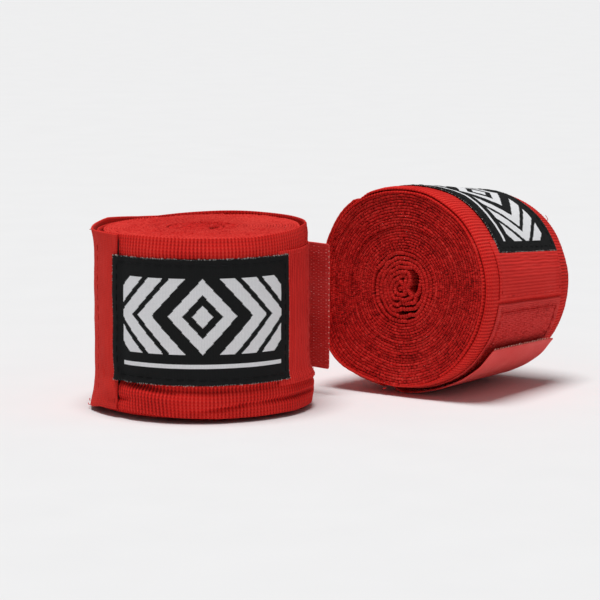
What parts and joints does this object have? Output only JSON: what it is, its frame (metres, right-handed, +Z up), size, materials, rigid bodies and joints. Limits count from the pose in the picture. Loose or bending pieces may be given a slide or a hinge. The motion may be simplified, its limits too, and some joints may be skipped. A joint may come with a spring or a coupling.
{
  "type": "hand wrap",
  "caption": "Pair of red elastic boxing hand wraps rolled up as they come, one standing and one lying, each closed by a hook tape tab over a fuzzy loop patch.",
  "frame": {"origin": "middle of the footprint of the pair, on the surface that both rolls rest on", "axes": "+Z up, +X from the standing roll to the lying roll, +Y to the back, away from the side that the standing label faces"},
  "size_m": [0.1396, 0.103, 0.0625],
  "materials": {
    "ribbed_band": "matt ribbed elastic knit, red",
    "strap_weave": "matt fine weave, red",
    "label_weave": null,
    "label_thread": "fine dark sewing thread",
    "sewing_thread": "red sewing thread",
    "backing_weave": "smooth ribbed tape, red",
    "loop_pile": "fuzzy loop pile, red",
    "hook_tape": "woven nylon tape with moulded hooks, satin"
  },
  "bodies": {
    "standing_roll": {"standing_band": "ribbed_band", "standing_thumb_loop": "strap_weave", "standing_thumb_loop_stitching": "sewing_thread", "standing_closing_strap": "strap_weave", "standing_strap_seam_stitching": "sewing_thread", "standing_label": "label_weave", "standing_label_stitching": "label_thread", "standing_backing_tape": "backing_weave", "standing_backing_tape_stitching": "sewing_thread", "standing_loop_patch": "loop_pile", "standing_loop_patch_stitching": "sewing_thread", "standing_hook_tape": "hook_tape", "standing_hook_tape_stitching": "sewing_thread"},
    "standing_tab_base": {"standing_tab_link_1": "hook_tape"},
    "standing_tab_middle": {"standing_tab_link_2": "hook_tape"},
    "standing_tab_tip": {"standing_tab_link_3": "hook_tape"},
    "lying_roll": {"lying_band": "ribbed_band", "lying_thumb_loop": "strap_weave", "lying_thumb_loop_stitching": "sewing_thread", "lying_closing_strap": "strap_weave", "lying_strap_seam_stitching": "sewing_thread", "lying_label": "label_weave", "lying_label_stitching": "label_thread", "lying_backing_tape": "backing_weave", "lying_backing_tape_stitching": "sewing_thread", "lying_loop_patch": "loop_pile", "lying_loop_patch_stitching": "sewing_thread", "lying_hook_tape": "hook_tape", "lying_hook_tape_stitching": "sewing_thread"},
    "lying_tab_base": {"lying_tab_link_1": "hook_tape"},
    "lying_tab_middle": {"lying_tab_link_2": "hook_tape"},
    "lying_tab_tip": {"lying_tab_link_3": "hook_tape"}
  },
  "joints": [
    {"name": "standing_tab_lift", "type": "hinge", "parent": "standing_roll", "child": "standing_tab_base", "pos_m": [-0.02903, 0.01149, 0.0255], "axis": [0, 0, 1], "range_deg": [-6, 7], "stiffness_Nm_per_rad": 0.01},
    {"name": "standing_tab_bend", "type": "hinge", "parent": "standing_tab_base", "child": "standing_tab_middle", "pos_m": [-0.01885, 0.00819, 0.0255], "axis": [0, 0, 1], "range_deg": [-6, 7], "stiffness_Nm_per_rad": 0.01},
    {"name": "standing_tab_curl", "type": "hinge", "parent": "standing_tab_middle", "child": "standing_tab_tip", "pos_m": [-0.00959, 0.00284, 0.0255], "axis": [0, 0, 1], "range_deg": [-6, 7], "stiffness_Nm_per_rad": 0.01},
    {"name": "pair_spacing", "type": "slide", "parent": "standing_roll", "child": "lying_roll", "axis": [1, 0, 0], "range_m": [0, 0.04]},
    {"name": "lying_tab_lift", "type": "hinge", "parent": "lying_roll", "child": "lying_tab_base", "pos_m": [0.035, 0.012, 0.00052], "axis": [0.5825, 0.8129, -0.0003], "range_deg": [-1, 10], "stiffness_Nm_per_rad": 0.01},
    {"name": "lying_tab_bend", "type": "hinge", "parent": "lying_tab_base", "child": "lying_tab_middle", "pos_m": [0.04357, 0.00586, 0.00238], "axis": [0.5825, 0.8129, -0.0003], "range_deg": [-1, 10], "stiffness_Nm_per_rad": 0.01},
    {"name": "lying_tab_curl", "type": "hinge", "parent": "lying_tab_middle", "child": "lying_tab_tip", "pos_m": [0.05125, 0.00036, 0.0074], "axis": [0.5825, 0.8129, -0.0003], "range_deg": [-1, 10], "stiffness_Nm_per_rad": 0.01}
  ],
  "couplings": [
    {"joint": "standing_tab_bend", "follows": "standing_tab_lift", "ratio": 1},
    {"joint": "standing_tab_curl", "follows": "standing_tab_lift", "ratio": 1},
    {"joint": "lying_tab_bend", "follows": "lying_tab_lift", "ratio": 1},
    {"joint": "lying_tab_curl", "follows": "lying_tab_lift", "ratio": 1}
  ]
}
